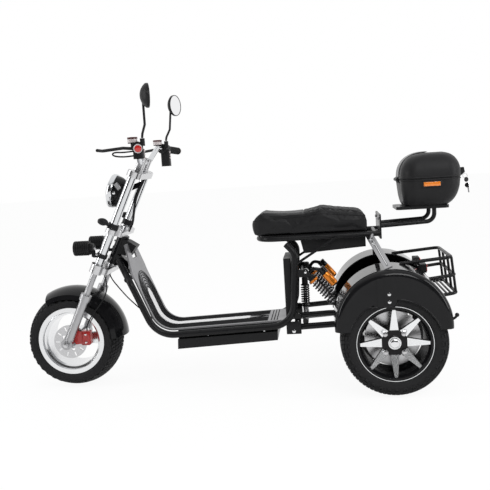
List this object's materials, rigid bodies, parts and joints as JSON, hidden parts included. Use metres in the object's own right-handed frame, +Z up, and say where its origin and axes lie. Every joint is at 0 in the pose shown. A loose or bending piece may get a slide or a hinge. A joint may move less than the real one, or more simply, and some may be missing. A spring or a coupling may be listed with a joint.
{
  "type": "three-wheeled electric scooter",
  "caption": "Three-wheeled electric scooter with a raked steering fork, step-through floor, long seat, rear fenders, basket and a lidded tail box.",
  "frame": {"origin": "centre of the footprint, on the floor", "axes": "+X to the front, +Y to the rider's left, +Z up"},
  "size_m": [2.1855, 0.8774, 1.444],
  "materials": {
    "tyre": "matte",
    "alloy": "polished",
    "black_alloy": "gloss",
    "disc_steel": "brushed",
    "chrome": "mirror",
    "satin_alloy": "satin",
    "black_paint": "gloss",
    "grey_board": "satin",
    "black_plastic": "matte",
    "gloss_plastic": "gloss",
    "leather": "semi-gloss",
    "rubber": "matte",
    "shock_orange": "gloss",
    "caliper_red": "gloss"
  },
  "bodies": {
    "frame": {"head_tube": "black_paint", "frame_rail_left": "black_paint", "frame_rail_right": "black_paint", "footboard": "grey_board", "battery_box": "black_paint", "seat_post_panel": "black_plastic", "neck_box": "black_plastic", "seat_rails": "black_paint", "seat": "leather", "under_seat_box": "black_plastic", "seat_struts": "black_paint", "swing_arms": "black_paint", "axle_housing": "black_paint", "shock_left": "shock_orange", "shock_right": "shock_orange", "centre_shock": "black_paint", "rear_fender_left": "gloss_plastic", "rear_fender_right": "gloss_plastic", "fender_stays": "satin_alloy", "basket": "black_paint", "box_rack": "black_paint", "tail_box": "black_plastic", "rear_lamps": "gloss_plastic", "frame_cable": "rubber"},
    "steering": {"fork_lowers": "satin_alloy", "fork_stanchions": "satin_alloy", "lower_crown": "satin_alloy", "middle_yoke": "satin_alloy", "fork_tubes": "chrome", "upper_crown": "chrome", "handlebar": "chrome", "grips": "rubber", "hand_controls": "black_plastic", "mirrors": "black_plastic", "headlight": "gloss_plastic", "spotlights": "black_plastic", "turn_signals": "black_plastic", "front_fender": "gloss_plastic", "brake_caliper": "caliper_red", "front_axle": "disc_steel", "fork_hoses": "rubber"},
    "front_wheel": {"front_tyre": "tyre", "front_rim": "alloy", "front_disc": "disc_steel"},
    "rear_wheel_left": {"rear_tyre_left": "tyre", "rear_rim_left": "black_alloy", "rear_disc_left": "disc_steel"},
    "rear_wheel_right": {"rear_tyre_right": "tyre", "rear_rim_right": "black_alloy", "rear_disc_right": "disc_steel"},
    "lid": {"box_lid": "black_plastic", "box_latch": "black_plastic"}
  },
  "joints": [
    {"name": "steering", "type": "hinge", "parent": "frame", "child": "steering", "pos_m": [0.60525, 0, 0.67299], "axis": [-0.4384, 0, 0.8988], "range_deg": [-32, 32]},
    {"name": "front_wheel_spin", "type": "hinge", "parent": "steering", "child": "front_wheel", "pos_m": [0.855, 0, 0.2385], "axis": [0, 1, 0], "continuous": true},
    {"name": "rear_wheel_left_spin", "type": "hinge", "parent": "frame", "child": "rear_wheel_left", "pos_m": [-0.71, 0.269, 0.2385], "axis": [0, 1, 0], "continuous": true},
    {"name": "rear_wheel_right_spin", "type": "hinge", "parent": "frame", "child": "rear_wheel_right", "pos_m": [-0.71, -0.269, 0.2385], "axis": [0, 1, 0], "continuous": true},
    {"name": "box_lid_hinge", "type": "hinge", "parent": "frame", "child": "lid", "pos_m": [-0.778, 0, 0.944], "axis": [0, 1, 0], "range_deg": [0, 75]}
  ]
}
